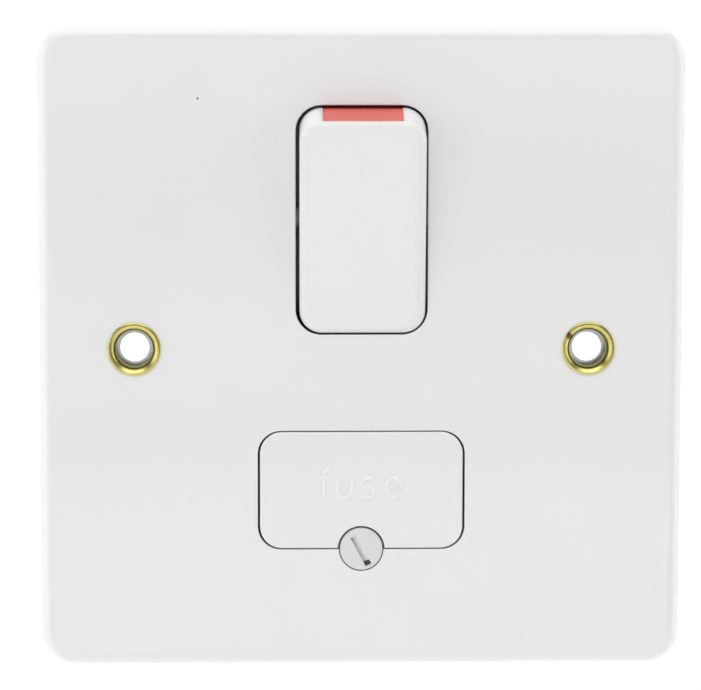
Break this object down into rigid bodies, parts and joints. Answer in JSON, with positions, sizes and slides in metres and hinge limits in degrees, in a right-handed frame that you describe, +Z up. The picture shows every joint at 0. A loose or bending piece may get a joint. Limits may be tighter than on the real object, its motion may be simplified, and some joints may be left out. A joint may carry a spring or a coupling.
{
  "type": "switched fused connection unit",
  "caption": "Single-gang wall plate with a rocker switch over a screw-held fuse carrier, feeding a fixed appliance through a cartridge fuse.",
  "frame": {"origin": "centre of the plate on the wall plane, where the plate's back rim rests", "axes": "+X right as seen from the front, +Y into the wall, +Z up; the face looks along -Y"},
  "size_m": [0.086, 0.0317, 0.086],
  "materials": {
    "plate_plastic": "gloss moulded urea",
    "rocker_plastic": "gloss moulded urea",
    "carrier_plastic": "gloss moulded urea",
    "flash_plastic": "gloss red",
    "screw_plastic": "satin moulded nylon",
    "base_plastic": "satin moulded urea",
    "plunger_plastic": "moulded nylon",
    "eyelet_brass": "polished, lightly tarnished",
    "terminal_brass": "as machined",
    "clip_brass": "rolled strip",
    "contact_silver": "coined silver alloy",
    "plated_steel": "zinc plated",
    "spring_steel": "drawn wire",
    "fuse_ceramic": "glazed ceramic",
    "cap_plating": "nickel plated brass"
  },
  "bodies": {
    "unit": {"front_plate": "plate_plastic", "eyelet_left": "eyelet_brass", "eyelet_right": "eyelet_brass", "earth_strap": "plated_steel", "earth_terminal": "terminal_brass", "base_moulding": "base_plastic", "base_screws": "plated_steel", "live_supply_terminal": "terminal_brass", "neutral_supply_terminal": "terminal_brass", "live_load_terminal": "terminal_brass", "neutral_load_terminal": "terminal_brass", "terminal_screws": "terminal_brass", "live_link": "terminal_brass", "live_fixed_contact": "contact_silver", "neutral_fixed_contact": "contact_silver", "supply_fuse_clip": "clip_brass", "load_fuse_clip": "clip_brass", "screw_insert": "terminal_brass"},
    "rocker": {"rocker": "rocker_plastic", "on_flash": "flash_plastic", "live_spring": "spring_steel", "neutral_spring": "spring_steel"},
    "live_plunger": {"live_plunger": "plunger_plastic"},
    "neutral_plunger": {"neutral_plunger": "plunger_plastic"},
    "live_arm": {"live_contact_arm": "clip_brass", "live_moving_contact": "contact_silver"},
    "neutral_arm": {"neutral_contact_arm": "clip_brass", "neutral_moving_contact": "contact_silver"},
    "carrier": {"fuse_carrier": "carrier_plastic", "fuse_body": "fuse_ceramic", "fuse_cap_left": "cap_plating", "fuse_cap_right": "cap_plating"},
    "screw_ring": {"screw_retainer": "plunger_plastic"},
    "carrier_screw": {"carrier_screw": "screw_plastic"}
  },
  "joints": [
    {"name": "rocker_pivot", "type": "hinge", "parent": "unit", "child": "rocker", "pos_m": [0.0001, -0.0045, 0.0171], "axis": [1, 0, 0], "range_deg": [-13, 0]},
    {"name": "live_plunger_slide", "type": "slide", "parent": "rocker", "child": "live_plunger", "axis": [0, -0.9936, -0.1132], "range_m": [0, 0.0008], "stiffness_N_per_m": 200, "springref_m": -0.003, "deforming": ["live_spring"]},
    {"name": "neutral_plunger_slide", "type": "slide", "parent": "rocker", "child": "neutral_plunger", "axis": [0, -0.9936, -0.1132], "range_m": [0, 0.0008], "stiffness_N_per_m": 200, "springref_m": -0.003, "deforming": ["neutral_spring"]},
    {"name": "live_arm_pivot", "type": "hinge", "parent": "unit", "child": "live_arm", "pos_m": [-0.0044, 0.00976, 0.0171], "axis": [1, 0, 0], "range_deg": [0, 16]},
    {"name": "neutral_arm_pivot", "type": "hinge", "parent": "unit", "child": "neutral_arm", "pos_m": [0.0044, 0.00976, 0.0171], "axis": [1, 0, 0], "range_deg": [0, 16]},
    {"name": "carrier_slide", "type": "slide", "parent": "unit", "child": "carrier", "axis": [0, -1, 0], "range_m": [0, 0.03]},
    {"name": "screw_advance", "type": "slide", "parent": "carrier", "child": "screw_ring", "axis": [0, -1, 0], "range_m": [0, 0.0033]},
    {"name": "screw_turn", "type": "hinge", "parent": "screw_ring", "child": "carrier_screw", "pos_m": [0, -0.0089, -0.02699], "axis": [0, -1, 0], "range_deg": [0, 2376]}
  ],
  "couplings": [
    {"joint": "live_arm_pivot", "follows": "rocker_pivot", "ratio": -1.23},
    {"joint": "neutral_arm_pivot", "follows": "rocker_pivot", "ratio": -1.23},
    {"joint": "screw_turn", "follows": "screw_advance", "rad_per_m": 12566}
  ]
}
